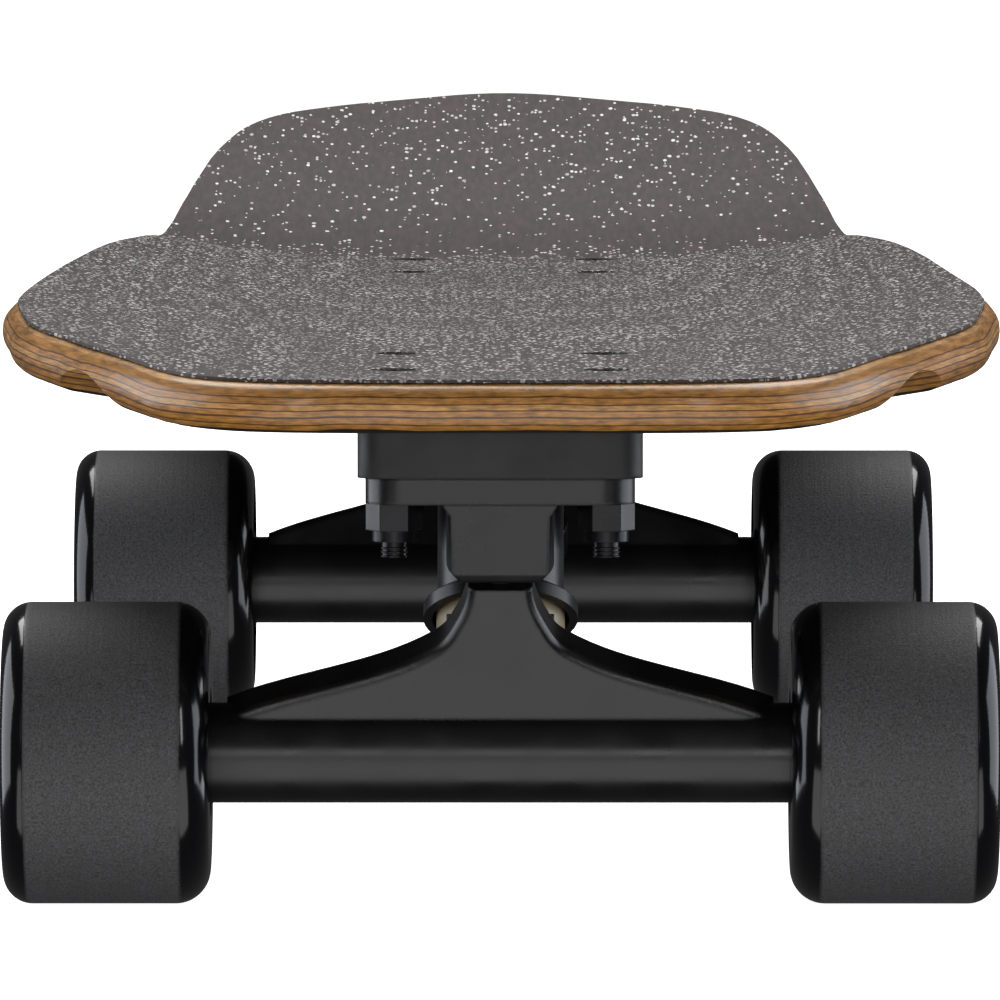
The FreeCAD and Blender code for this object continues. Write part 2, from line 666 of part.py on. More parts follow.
def build_hanger(end):
    name = end + "_hanger"
    half = size("hanger_half")
    axle = local(mm("axle_out"), mm("axle_height"), -mm("hanger_half"))
    beam = cylinder(name + "_beam", size("beam_radius"), half * 2,
                    Placement(axle, Rotation(Vector(0, 0, 1), Vector(1, 0, 0))))
    web = web_plate(name + "_web")
    ring = cylinder(name + "_ring", size("ring_radius"), size("ring_half") * 2,
                    kingpin_place(-mm("ring_half")))
    yoke = side_profile(name + "_yoke", [
        (-8.3, 47.0), (-5.1, 40.8), (3.8, 45.5), (8.8, 36.2), (12.0, 33.0), (20.0, 40.0), (22.0, 57.0),
        (0.6, 51.7),
    ], 10.5)
    stem = lean("stem_rise")
    pivot = pivot_point()
    neck = cone(name + "_stem", size("stem_radius"), 4.6, 14.0,
                Placement(pivot - stem * 14.0, Rotation(Vector(0, 0, 1), stem)))
    ball = doc.addObject("Part::Sphere", name + "_ball")
    bind(ball, Radius=size("pivot_ball"))
    ball.Placement = Placement(pivot, Rotation())
    body = fused(name + "_body", [beam, web, ring, yoke, neck, ball])
    tools = [
        cylinder(name + "_axle_hole", size("axle_radius"), half * 2 + 4.0,
                 Placement(axle - Vector(2, 0, 0), Rotation(Vector(0, 0, 1), Vector(1, 0, 0)))),
        cylinder(name + "_pin_hole", size("ring_hole"), 14.0, kingpin_place(-7.0)),
        cylinder(name + "_board_seat", size("seat_radius"), 6.0,
                 kingpin_place(mm("ring_half") - mm("seat_depth"))),
        cylinder(name + "_road_seat", size("seat_radius"), 6.0,
                 kingpin_place(-mm("ring_half") + mm("seat_depth") - 6.0)),
    ]
    hanger = cut(name + "_finished", body, tools)
    hanger.Placement = truck_frame(end)
    publish(name, hanger)


# --------------------------------------------------------------------------- axles, wheels, bearings
def wheel_frame(end, side, depth=0.0):
    """Placement whose local Z runs outward along the axle from a wheel's inner face."""
    sign = SIDES[side]
    base = Vector(sign * (mm("wheel_inner") + depth), axle_y(end), mm("axle_height"))
    return Placement(base, Rotation(Vector(0, 0, 1), Vector(sign, 0, 0)))


def outer_bearing_start(end):
    gap = mm("bearing_gap") if end == FRONT else mm("motor_gap")
    return mm("hanger_step") + mm("washer_gap") + mm("bearing_width") + gap


def bearing_starts(end):
    return [mm("hanger_step") + mm("washer_gap"), outer_bearing_start(end)]


def axle_end(end):
    nut = mm("axle_nut_height") if end == FRONT else mm("motor_nut_height")
    return outer_bearing_start(end) + mm("bearing_width") + mm("washer_gap") + nut + 1.0


def build_axle(end):
    half = mm("wheel_inner") + axle_end(end)
    place = Placement(Vector(-half, axle_y(end), mm("axle_height")), Rotation(Vector(0, 0, 1), Vector(1, 0, 0)))
    publish(end + "_axle", cylinder(end + "_axle_bar", size("axle_radius"), 2 * half, place))
    radius = size("axle_radius")
    nut_height = size("axle_nut_height") if end == FRONT else size("motor_nut_height")
    nut_start = outer_bearing_start(end) + mm("bearing_width") + mm("washer_gap")
    nut = cut(end + "_axle_nut", prism(end + "_axle_nut_hex", size("axle_nut_across"), nut_height),
              [cylinder(end + "_axle_nut_hole", radius, 20.0)])
    publish(end + "_axle_nuts", copies(end + "_axle_nut_pair", nut,
                                       [wheel_frame(end, side, nut_start) for side in SIDES]))
    washer = turned(end + "_washer", [
        (radius, 0.0), (radius + 1.8, 0.0), (radius + 1.8, size("washer_gap")), (radius, size("washer_gap")),
    ])
    depths = [mm("hanger_step"), outer_bearing_start(end) + mm("bearing_width")]
    publish(end + "_axle_washers", copies(end + "_washer_set", washer, [
        wheel_frame(end, side, depth) for side in SIDES for depth in depths]))


def build_inner_rings(end):
    """Bearing inner rings, which stay still on the axle."""
    radius, width = size("axle_radius"), size("bearing_width")
    ring = turned(end + "_inner_ring", [(radius, 0.0), (radius + 2.1, 0.0), (radius + 2.1, width), (radius, width)])
    publish(end + "_bearing_inner_rings", copies(end + "_inner_ring_set", ring, [
        wheel_frame(end, side, start) for side in SIDES for start in bearing_starts(end)]))


def build_outer_rings(end, side):
    """Bearing outer rings with their shields, which turn with the wheel."""
    outer, width = size("bearing_radius"), size("bearing_width")
    race, lip = outer - size("bearing_ring"), size("axle_radius") + 2.4
    ring = turned("%s_%s_outer_ring" % (end, side), [
        (outer, 0.0), (outer, width), (race, width), (race, width - 0.2), (lip, width - 0.2),
        (lip, width - 0.8), (race, width - 0.8), (race, 0.8), (lip, 0.8), (lip, 0.2), (race, 0.2), (race, 0.0),
    ])
    name = "%s_%s_bearing_rings" % (end, side)
    publish(name, copies(name + "_pair", ring, [
        wheel_frame(end, side, start) for start in bearing_starts(end)]))


def round_tread(body, name):
    """Round a tyre's two shoulders."""
    radius = mm("wheel_radius")

    def shoulder(low, high):
        def wanted(edge):
            box_of = edge.BoundBox
            round_edge = abs(box_of.XMax - radius) < 0.01 and box_of.ZLength < 0.01
            return round_edge and low <= box_of.ZMax <= high
        return wanted

    round_edges(body, name + "_inner_shoulder", size("inner_shoulder"), shoulder(-1.0, 1.0))
    return round_edges(body, name + "_outer_shoulder", size("outer_shoulder"), shoulder(30.0, 50.0))


def build_front_wheel(side):
    name = "front_%s_" % side
    width, radius, core = size("wheel_width"), size("wheel_radius"), size("core_radius")
    start = size("hanger_step") + size("washer_gap")
    end = start + size("bearing_width") * 2 + size("bearing_gap")
    tyre = turned(name + "tyre_body", [
        (size("inner_recess"), 0.0), (radius, 0.0), (radius, width - size("crown")),
        (size("outer_recess") + 1.2, width), (size("outer_recess"), end), (core, end), (core, start),
        (size("inner_recess"), start),
    ])
    round_tread(tyre, name + "tyre").Placement = wheel_frame(FRONT, side)
    publish(name + "tyre", tyre)
    seat, step = size("bearing_radius"), size("bearing_width")
    hub = turned(name + "core_body", [
        (seat, start), (core, start), (core, end), (seat, end), (seat, end - step), (seat - 1.8, end - step),
        (seat - 1.8, start + step), (seat, start + step),
    ])
    hub.Placement = wheel_frame(FRONT, side)
    publish(name + "core", hub)
    build_outer_rings(FRONT, side)


def build_bearing_spacers():
    radius, gap = size("axle_radius"), size("bearing_gap")
    tube = turned("bearing_spacer", [(radius, 0.0), (radius + 1.4, 0.0), (radius + 1.4, gap), (radius, gap)])
    start = mm("hanger_step") + mm("washer_gap") + mm("bearing_width")
    publish("front_bearing_spacers", copies("bearing_spacer_pair", tube, [
        wheel_frame(FRONT, side, start) for side in SIDES]))


# --------------------------------------------------------------------------- hub motors
def build_motor_wheel(side):
    name = "rear_%s_" % side
    width, radius, can = size("wheel_width"), size("wheel_radius"), size("can_radius")
    tyre = turned(name + "tyre_body", [
        (can, 0.0), (radius, 0.0), (radius, width - size("crown")), (can, width - size("crown") / 2),
    ])
    round_tread(tyre, name + "tyre").Placement = wheel_frame(REAR, side)
    publish(name + "tyre", tyre)
    seat, wall = size("bearing_radius"), size("can_wall")
    outer_start = outer_bearing_start(REAR)
    outer_stop = outer_start + mm("bearing_width")
    rotor = turned(name + "can_body", [
        (can, 4.6), (can, width - size("crown") / 2), (9.2, width - 0.2), (9.2, outer_stop),
        (seat, outer_stop), (seat, outer_start), (seat + 2.2, outer_start), (seat + 2.2, width - 4.6),
        (can - wall, width - 4.6), (can - wall, 4.6),
    ])
    rotor.Placement = wheel_frame(REAR, side)
    publish(name + "motor_can", rotor)
    start = mm("hanger_step") + mm("washer_gap")
    cover = turned(name + "cover_body", [
        (10.3, 1.2), (can, 1.2), (can, 4.6), (seat + 2.2, 4.6), (seat + 2.2, start + mm("bearing_width")),
        (seat, start + mm("bearing_width")), (seat, start), (10.3, start),
    ])
    cover.Placement = wheel_frame(REAR, side)
    publish(name + "motor_cover", cover)
    build_magnets(side)
    build_outer_rings(REAR, side)


def build_magnets(side):
    """Curved magnets set in a ring inside the can."""
    name = "rear_%s_magnets" % side
    outer = mm("can_radius") - mm("can_wall")
    inner = outer - mm("magnet_depth")
    angle = 360.0 / MAGNETS * 0.86
    ring = Part.makeCylinder(outer, mm("stator_length"), Vector(), Vector(0, 0, 1), angle)
    hole = Part.makeCylinder(inner, mm("stator_length"), Vector(), Vector(0, 0, 1), angle)
    magnet = solid(name + "_one", ring.cut(hole))
    frame = wheel_frame(REAR, side, mm("stator_start"))
    places = [frame.multiply(Placement(Vector(), Rotation(Vector(0, 0, 1), 360.0 * n / MAGNETS)))
              for n in range(MAGNETS)]
    publish(name, copies(name + "_set", magnet, places))


def build_stators():
    """Laminated stators on the rear axle and the coil round each tooth."""
    length = size("stator_length")
    tip = size("can_radius") - size("can_wall") - size("magnet_depth") - size("air_gap")
    hub = turned("stator_hub", [
        (size("axle_radius"), -2.0), (size("stator_bore"), -2.0), (size("stator_bore"), 0.0),
        (size("stator_bore") + 2.0, 0.0), (size("stator_bore") + 2.0, length), (size("stator_bore"), length),
        (size("stator_bore"), length + 1.75), (size("axle_radius"), length + 1.75),
    ])
    reach = tip.value
    tooth = box("stator_tooth", reach - 8.5, 2.6, length, (8.5, -1.3, 0))
    crown = Part.makeCylinder(reach, mm("stator_length"), Vector(), Vector(0, 0, 1), 24.0)
    crown = crown.cut(Part.makeCylinder(reach - 1.3, mm("stator_length"), Vector(), Vector(0, 0, 1), 24.0))
    crown.rotate(Vector(), Vector(0, 0, 1), -12.0)
    arm = fused("stator_arm", [tooth, solid("stator_crown", crown)])
    turns = [Placement(Vector(), Rotation(Vector(0, 0, 1), 360.0 * n / TEETH)) for n in range(TEETH)]
    teeth = copies("stator_teeth", arm, turns)
    core = fused("stator_core", [hub, teeth])
    start = mm("stator_start")
    frames = [wheel_frame(REAR, side, start) for side in SIDES]
    publish("motor_stators", copies("stator_pair", core, frames))
    wound = centred_box("coil_block", 5.2, 3.8, length + 2.4, (12.6, 0, -1.2))
    slot = centred_box("coil_slot", 8.0, 2.6, length, (12.6, 0, 0))
    coil = cut("coil", wound, [slot])
    publish("motor_coils", copies("coil_set", coil, [f.multiply(t) for f in frames for t in turns]))


# --------------------------------------------------------------------------- battery and controller tray
def tray_prism(name, half_width, start, end, bottom, top, radius):
    """An upright block with rounded corners, centred across the deck."""
    blank = Part.makeBox(2 * half_width, end - start, top - bottom, Vector(-half_width, start, bottom))
    edges = [e for e in blank.Edges if abs(e.BoundBox.ZLength - (top - bottom)) < 1e-6]
    return blank.makeFillet(radius, edges)


def under_deck(gap, depth):
    """The space from gap under the deck's underside down by depth."""
    return deck_layer(-gap - depth, depth)


def screw_places():
    """Where the tray's screws stand, in pairs along its flange."""
    reach = mm("tray_half_width") + mm("flange_width") / 2
    return [(side * reach, y) for side in SIDES.values() for y in (-109.0, -47.0, -8.0, 36.0, 80.0)]


def insert_cutters():
    return [Part.makeCylinder(2.8, 6.2 + 4.0, Vector(x, y, insert_foot(x, y) - 4.0)) for x, y in screw_places()]


def insert_foot(x, y):
    return mm("deck_underside") + deck_lift(x, y)


def build_tray():
    half, wall, flange = mm("tray_half_width"), mm("tray_wall"), mm("flange_width")
    front, middle, back = mm("control_start"), mm("battery_start"), mm("battery_end")
    roof = 100.0
    outer = tray_prism("battery_bay", half, middle, back, mm("battery_floor"), roof, 8.0)
    outer = outer.fuse(tray_prism("control_bay", half, front, middle + 20.0, mm("control_floor"), roof, 8.0))
    bottom_edges = [e for e in outer.Edges if e.BoundBox.ZMax < mm("battery_floor") + 0.01]
    outer = outer.makeFillet(3.0, bottom_edges)
    rim = tray_prism("rim", half + flange, front - 2.0, back + 2.0, 60.0, roof, 10.0)
    rim = rim.common(under_deck(mm("gasket_thickness"), mm("flange_thickness")))
    body = outer.common(under_deck(mm("gasket_thickness"), 40.0)).fuse(rim)
    bays = [
        tray_prism("battery_hollow", half - wall, middle + wall, back - wall, mm("battery_floor") + 1.6, roof, 2.5),
        tray_prism("control_hollow", half - wall, front + wall, middle, mm("control_floor") + 1.6, roof, 6.0),
        Part.makeBox(12.0, 6.0, 12.0, Vector(-6.0, middle - 2.0, 84.5)),
    ]
    drills = [Part.makeCylinder(2.15, 40.0, Vector(x, y, 60.0)) for x, y in screw_places()]
    drills += [Part.makeCylinder(3.65, 8.0, Vector(x, back - 4.0, GLAND_Z), Vector(0, 1, 0)) for x in GLANDS]
    drills.append(Part.makeCylinder(3.25, 6.0, Vector(-half - 2.0, BUTTON_Y, CONTROL_Z), Vector(1, 0, 0)))
    drills.append(Part.makeCylinder(3.45, 6.0, Vector(-half - 2.0, PORT_Y, CONTROL_Z), Vector(1, 0, 0)))
    tray = body.cut(bays + drills)
    for low in (CONTROL_Z - 3.4, CONTROL_Z + 1.8):
        lug = Part.makeBox(4.4, 3.6, 1.6, Vector(-half - 4.0, HINGE_Y - 1.8, low))
        tray = tray.fuse(lug)
    tray = tray.cut(Part.makeCylinder(0.9, 12.0, Vector(HINGE_X, HINGE_Y, CONTROL_Z - 6.0)))
    publish("enclosure_tray", solid("Tray", tray.removeSplitter()))
    ring = tray_prism("seal", half + flange - 1.0, front - 1.0, back + 1.0, 60.0, roof, 9.0)
    ring = ring.cut(tray_prism("seal_hole", half - wall, front + wall, back - wall, 59.0, roof + 1, 6.0))
    ring = ring.cut([Part.makeCylinder(2.3, 60.0, Vector(x, y, 50.0)) for x, y in screw_places()])
    publish("enclosure_gasket", solid("Gasket", ring.common(under_deck(0.0, mm("gasket_thickness")))))


BUTTON_Y = -96.0
PORT_Y = -68.0
HINGE_Y = -78.0
HINGE_X = -60.6
CONTROL_Z = 86.6
GLAND_Z = 82.4
GLANDS = (-22.0, 22.0)


def build_tray_fasteners():
    screws, inserts = [], []
    for x, y in screw_places():
        seat = insert_foot(x, y) - mm("gasket_thickness") - mm("flange_thickness")
        screws.append(Placement(Vector(x, y, seat - 2.75), Rotation()))
        inserts.append(Placement(Vector(x, y, insert_foot(x, y) + 0.6), Rotation()))
    head = cylinder("tray_screw_head", 3.4, 2.2)
    shank = cylinder("tray_screw_shank", 1.95, 11.0, Placement(Vector(0, 0, 1.0), Rotation()))
    socket = prism("tray_screw_socket", 2.6, 1.6, Placement(Vector(0, 0, -0.2), Rotation()))
    screw = cut("tray_screw", fused("tray_screw_body", [head, shank]), [socket])
    publish("enclosure_screws", copies("tray_screw_set", screw, screws))
    insert = turned("tray_insert", [(2.0, 0.0), (2.8, 0.0), (2.8, 5.4), (2.0, 5.4)])
    publish("enclosure_inserts", copies("tray_insert_set", insert, inserts))


def build_battery():
    """Ten flat cells in two layers, and the board that looks after them."""
    cell = rounded_plate("cell_body", size("cell_length"), size("cell_width"), size("cell_thickness"), 2.0)
    floor = mm("battery_floor") + 1.8
    pitch = mm("cell_width") + 0.25
    middle = (mm("battery_start") + mm("battery_end")) / 2
    places = [
        Placement(Vector(0, middle + pitch * (n - 2), floor + layer * (mm("cell_thickness") + 0.15)), Rotation())
        for layer in range(2) for n in range(5)
    ]
    publish("battery_cells", copies("battery_cell_set", cell, places))
    floor = mm("control_floor") + 1.6
    board = centred_box("guard_board", 42.0, 58.0, 1.6, (33.0, -81.0, floor + 0.8))
    chips = centred_box("guard_chips", 30.0, 16.0, 2.4, (33.0, -70.0, floor + 2.4))
    plug = centred_box("guard_plug", 14.0, 8.0, 5.4, (33.0, -102.0, floor + 2.4))
    publish("battery_board", fused("battery_board_body", [board, chips, plug]))


def build_controller():
    floor = mm("control_floor") + 1.6
    spreader = centred_box("spreader_plate", 50.0, 60.0, 1.8, (-16.0, -81.0, floor))
    publish("controller_heat_plate", spreader)
    parts = [centred_box("control_board", 48.0, 58.0, 1.6, (-16.0, -81.0, floor + 1.8))]
    for n in range(6):
        parts.append(centred_box("switch_%d" % n, 5.6, 9.0, 2.2, (-36.0 + 8.0 * n, -62.0, floor + 3.4)))
    for n in range(3):
        place = Placement(Vector(-30.0 + 13.0 * n, -100.0, floor + 3.4), Rotation())
        parts.append(cylinder("capacitor_%d" % n, 3.2, 4.0, place))
    parts.append(centred_box("processor", 10.0, 10.0, 1.4, (-16.0, -81.0, floor + 3.4)))
    publish("motor_controller", fused("motor_controller_body", parts))


def build_power_button():
    wall_x = -mm("tray_half_width")
    place = along((wall_x - 1.2, BUTTON_Y, CONTROL_Z), (1, 0, 0))
    radius = size("button_radius")
    guide = turned("button_guide", [
        (radius + 0.06, 0.0), (radius + 1.1, 0.0), (radius + 1.1, 1.2), (radius + 0.8, 1.2),
        (radius + 0.8, 10.5), (0.0, 10.5), (0.0, 9.0), (radius + 0.06, 9.0),
    ])
    guide.Placement = place
    publish("power_button_guide", guide)
    cap = turned("button_cap", [
        (0.0, -1.5), (radius - 0.5, -1.5), (radius, -1.0), (radius, 6.8), (0.0, 6.8),
    ])
    cap.Placement = place
    publish("power_button", cap)


def build_charge_port():
    wall_x = -mm("tray_half_width")
    place = along((wall_x - 1.0, PORT_Y, CONTROL_Z), (1, 0, 0))
    radius = size("port_radius")
    shell = turned("port_shell", [
        (radius, 0.0), (radius + 0.75, 0.0), (radius + 0.75, 1.0), (radius + 0.65, 1.0),
        (radius + 0.65, 10.0), (0.0, 10.0), (0.0, 9.0), (radius, 9.0),
    ])
    shell.Placement = place
    pin = cylinder("port_pin", 1.0, 8.0, along((wall_x + 0.6, PORT_Y, CONTROL_Z), (1, 0, 0)))
    publish("charge_port", fused("charge_port_body", [shell, pin]))
    face_x = wall_x - 1.3
    lid = centred_box("cap_lid", 1.8, 12.0, 6.6, (face_x - 0.9, PORT_Y, CONTROL_Z - 3.3))
    knuckle = cylinder("cap_knuckle", 1.9, 3.0, Placement(Vector(HINGE_X, HINGE_Y, CONTROL_Z - 1.5), Rotation()))
    arm = box("cap_arm", 1.6, HINGE_Y * -1 + PORT_Y, 3.0, (HINGE_X - 0.8, HINGE_Y, CONTROL_Z - 1.5))
    bung = cylinder("cap_bung", 2.2, 1.8, along((face_x - 0.2, PORT_Y, CONTROL_Z), (1, 0, 0)))
    bore = cylinder("cap_bore", 0.95, 8.0, Placement(Vector(HINGE_X, HINGE_Y, CONTROL_Z - 4.0), Rotation()))
    cap = cut("port_cap", fused("port_cap_body", [lid, knuckle, arm, bung]), [bore])
    publish("charge_port_cap", cap)
    hinge = cylinder("cap_pin", 0.9, 7.6, Placement(Vector(HINGE_X, HINGE_Y, CONTROL_Z - 3.8), Rotation()))
    publish("charge_cap_pin", hinge)


def build_cable_glands():
    gland = turned("gland", [
        (2.1, -2.4), (3.6, -2.4), (3.6, 0.0), (4.3, 0.0), (4.3, 2.6), (3.8, 2.6), (3.0, 6.5), (2.1, 6.5),
    ])
    places = [along((x, mm("battery_end"), GLAND_Z), (0, 1, 0)) for x in GLANDS]
    publish("cable_glands", copies("gland_pair", gland, places))


# --------------------------------------------------------------------------- assembly
def build_all():
    fill_sheet()
    build_deck()
    for end in (FRONT, REAR):
        build_riser(end)
        build_baseplate(end)
        build_bushings(end)
        build_hanger(end)
        build_axle(end)
        build_inner_rings(end)
    build_pivot_cups()
    build_kingpins()
    build_truck_bolts()
    build_bearing_spacers()
    for side in SIDES:
        build_front_wheel(side)
        build_motor_wheel(side)
    build_stators()
    build_tray()
    build_tray_fasteners()
    build_battery()
    build_controller()
    build_power_button()
    build_charge_port()
    build_cable_glands()
    doc.recompute()


def check_all():
    """Stop if any object failed or any sub-part is not a valid solid."""
    for obj in doc.Objects:
        if "Invalid" in obj.State or "Error" in obj.State:
            raise RuntimeError("%s is %s" % (obj.Name, obj.State))
    for name, obj in pieces.items():
        shape = obj.Shape
        if shape.isNull() or not shape.isValid() or not shape.Solids or shape.Volume <= 0:
            raise RuntimeError("%s has no valid solid" % name)


def write_all():
    os.makedirs("parts", exist_ok=True)
    for name, obj in pieces.items():
        obj.Shape.exportStep(os.path.join("parts", name + ".step"))
        box_of = obj.Shape.BoundBox
        print("%-26s %2d solids %9.1f mm3  z %.1f..%.1f" % (
            name, len(obj.Shape.Solids), obj.Shape.Volume, box_of.ZMin, box_of.ZMax))


build_all()
check_all()
write_all()
print(len(pieces), "sub-parts")
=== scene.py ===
"""Electric skateboard: dresses the CAD frame, adds the fine detail, and sets up the studio."""

import logging
import math
from dataclasses import dataclass
from enum import Enum
from typing import Iterable, Sequence

import bpy
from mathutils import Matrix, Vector


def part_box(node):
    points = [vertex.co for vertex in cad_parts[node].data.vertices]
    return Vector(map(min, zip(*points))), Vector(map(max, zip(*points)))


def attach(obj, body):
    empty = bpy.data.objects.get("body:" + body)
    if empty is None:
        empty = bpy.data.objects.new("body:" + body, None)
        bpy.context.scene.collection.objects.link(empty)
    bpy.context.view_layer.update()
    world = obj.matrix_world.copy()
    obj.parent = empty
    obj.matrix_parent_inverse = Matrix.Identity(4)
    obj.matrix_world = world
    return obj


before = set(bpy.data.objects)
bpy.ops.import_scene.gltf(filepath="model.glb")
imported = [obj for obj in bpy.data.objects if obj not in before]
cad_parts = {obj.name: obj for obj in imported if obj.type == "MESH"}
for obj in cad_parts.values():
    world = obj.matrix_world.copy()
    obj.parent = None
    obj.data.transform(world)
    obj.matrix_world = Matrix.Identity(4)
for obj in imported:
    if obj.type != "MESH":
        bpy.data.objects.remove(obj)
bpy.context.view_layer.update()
LOG = logging.getLogger("skateboard")
MM = 0.001

Socket = bpy.types.NodeSocket
Colour = tuple[float, float, float, float]


def linear(code: str) -> Colour:
    """Turn an sRGB hex value into a linear colour.

    Args:
        code: Six hex digits.
    Returns:
        Linear red, green, blue and a full alpha.
    """
    parts = [int(code[i:i + 2], 16) / 255 for i in (0, 2, 4)]
    turned = [c / 12.92 if c <= 0.04045 else ((c + 0.055) / 1.055) ** 2.4 for c in parts]
    return (turned[0], turned[1], turned[2], 1.0)


class End(Enum):
    """The two ends of the board, by the Y of their axle in millimetres."""

    FRONT = -285.5
    REAR = 166.5


# --------------------------------------------------------------------------- materials
class Tree:
    """A material's node tree under construction."""

    def __init__(self, name: str) -> None:
        """Start an empty material with that name."""
        self.material = bpy.data.materials.new(name)
        self.material.use_nodes = True
        self.nodes = self.material.node_tree.nodes
        self.links = self.material.node_tree.links
        self.nodes.clear()

    def add(self, kind: str, inputs: dict | None = None, **settings: object) -> bpy.types.Node:
        """Add a node, set its properties and fill its sockets.

        Args:
            kind: The node's type without the ShaderNode prefix.
            inputs: Socket name or number to a value or to another node's socket.
            settings: Properties of the node.
        Returns:
            The node.
        """
        node = self.nodes.new("ShaderNode" + kind)
        for name, value in settings.items():
            setattr(node, name, value)
        for key, value in (inputs or {}).items():
            socket = node.inputs[key]
            if isinstance(value, bpy.types.NodeSocket):
                self.links.new(value, socket)
            else:
                socket.default_value = value
        return node

    def math(self, operation: str, first: object, second: object = 0.0, third: object = 0.0) -> Socket:
        """Add a sum on one to three values and return its result."""
        node = self.add("Math", {0: first, 1: second, 2: third}, operation=operation)
        return node.outputs[0]

    def place(self, scale: Sequence[float] = (1, 1, 1)) -> Socket:
        """Object coordinates, scaled."""
        where = self.add("TexCoord").outputs["Object"]
        return self.add("Mapping", {"Vector": where, "Scale": scale}).outputs[0]

    def noise(self, size_mm: float, detail: float = 3.0, stretch: Sequence[float] = (1, 1, 1)) -> Socket:
        """Noise whose features are about size_mm across.

        Args:
            size_mm: Size of a feature in millimetres.
            detail: Number of finer octaves.
            stretch: Scale on each axis; less than one stretches the pattern.
        Returns:
            The noise's value.
        """
        node = self.add("TexNoise", {"Vector": self.place(stretch), "Scale": 1000.0 / size_mm,
                                     "Detail": detail})
        return node.outputs["Fac"]

    def ramp(self, value: Socket, stops: Sequence[tuple[float, object]], constant: bool = False) -> Socket:
        """Turn a value into colours.

        Args:
            value: The socket to read.
            stops: Position and colour, or position and grey level.
            constant: True for hard steps.
        Returns:
            The colour socket.
        """
        node = self.add("ValToRGB", {"Fac": value})
        band = node.color_ramp
        band.interpolation = "CONSTANT" if constant else "LINEAR"
        while len(band.elements) < len(stops):
            band.elements.new(0.5)
        for element, (position, colour) in zip(band.elements, stops):
            element.position = position
            element.color = (colour, colour, colour, 1.0) if isinstance(colour, float) else colour
        return node.outputs["Color"]

    def span(self, value: Socket, low: float, high: float, to_low: float, to_high: float,
             smooth: bool = False) -> Socket:
        """Map a value's range to another, clamped."""
        node = self.add("MapRange", {"Value": value, "From Min": low, "From Max": high, "To Min": to_low,
                                     "To Max": to_high})
        node.interpolation_type = "SMOOTHSTEP" if smooth else "LINEAR"
        return node.outputs[0]

    def mix(self, share: object, first: object, second: object, blend: str = "MIX") -> Socket:
        """Mix two colours."""
        node = self.add("Mix", data_type="RGBA", blend_type=blend)
        for socket, value in ((node.inputs[0], share), (node.inputs[6], first), (node.inputs[7], second)):
            if isinstance(value, bpy.types.NodeSocket):
                self.links.new(value, socket)
            else:
                socket.default_value = value
        return node.outputs[2]

    def bump(self, height: Socket, depth_mm: float, normal: Socket | None = None) -> Socket:
        """A bump whose full height is depth_mm.

        Args:
            height: The socket that gives the height, from 0 to 1.
            depth_mm: The full height in millimetres.
            normal: The normal to start from, or None for the surface's own.
        Returns:
            The bent normal.
        """
        inputs = {"Height": height, "Distance": depth_mm * MM, "Strength": 1.0}
        if normal is not None:
            inputs["Normal"] = normal
        return self.add("Bump", inputs).outputs[0]

    def finish(self, **inputs: object) -> bpy.types.Material:
        """Close the tree with a Principled shader.

        Args:
            inputs: Socket names with underscores for spaces, and their values.
        Returns:
            The material.
        """
        shader = self.add("BsdfPrincipled", {name.replace("_", " "): value for name, value in inputs.items()})
        self.add("OutputMaterial", {"Surface": shader.outputs[0]})
        return self.material


@dataclass(frozen=True)
class Coating:
    """A plain opaque finish with a little unevenness.

    grain_mm is the size of its texture, depth_mm how deep that is, spread how much its roughness varies,
    flecks the share of its dust specks, and edge_mm how far its edges are rounded over.
    """

    name: str
    colour: str
    shade: str
    roughness: float
    grain_mm: float
    depth_mm: float
    metallic: float = 0.0
    coat: float = 0.0
    coat_roughness: float = 0.1
    ior: float = 1.5
    spread: float = 0.06
    stretch: tuple[float, float, float] = (1.0, 1.0, 1.0)
    flecks: float = 0.0
    edge_mm: float = 0.0

    def build(self) -> bpy.types.Material:
        """Make the material.

        Returns:
            The finished material.
        """
        tree = Tree(self.name)
        patches = tree.noise(self.grain_mm * 14, 4.0, self.stretch)
        fine = tree.noise(self.grain_mm, 3.0, self.stretch)
        colour = tree.mix(tree.span(patches, 0.35, 0.65, 0.0, 1.0), linear(self.colour), linear(self.shade))
        if self.flecks:
            cells = tree.add("TexVoronoi", {"Vector": tree.place(), "Scale": 260.0})
            speck = tree.math("MULTIPLY", tree.math("LESS_THAN", cells.outputs["Distance"], 0.07),
                              tree.math("GREATER_THAN", cells.outputs["Color"], 1.0 - self.flecks))
            colour = tree.mix(speck, colour, linear("B8B8B6"))
        rough = tree.span(patches, 0.3, 0.7, max(0.02, self.roughness - self.spread),
                          self.roughness + self.spread)
        edges = tree.add("Bevel", {"Radius": self.edge_mm * MM}, samples=4).outputs[0] if self.edge_mm else None
        normal = tree.bump(fine, self.depth_mm, normal=edges)
        return tree.finish(Base_Color=colour, Roughness=rough, Metallic=self.metallic, Normal=normal,
                           IOR=self.ior, Coat_Weight=self.coat, Coat_Roughness=self.coat_roughness)


# Polyester powder coat over cast aluminium, sprayed and baked: deep black, satin, faint orange peel.
POWDER_COAT = Coating("black_powder_coat_on_cast_aluminium", "0B0B0D", "101012", 0.3, 0.9, 0.012, flecks=0.04,
                      edge_mm=0.9)
# Black oxide on machined steel, oiled: dark, with a soft sheen.
BLACK_STEEL = Coating("black_oxide_machined_steel", "121214", "1B1B1E", 0.28, 0.5, 0.006, metallic=0.5,
                      edge_mm=0.35)
# Zinc plate on turned steel: bright, with fine lathe marks.
ZINC_STEEL = Coating("zinc_plated_turned_steel", "A5A6A8", "8B8C90", 0.28, 0.4, 0.004, metallic=1.0)
# Vulcanised rubber pressed in a mould: dull and even.
PRESSED_RUBBER = Coating("pressed_black_rubber", "090909", "0F0F0F", 0.5, 0.5, 0.02, flecks=0.03, edge_mm=1.2)
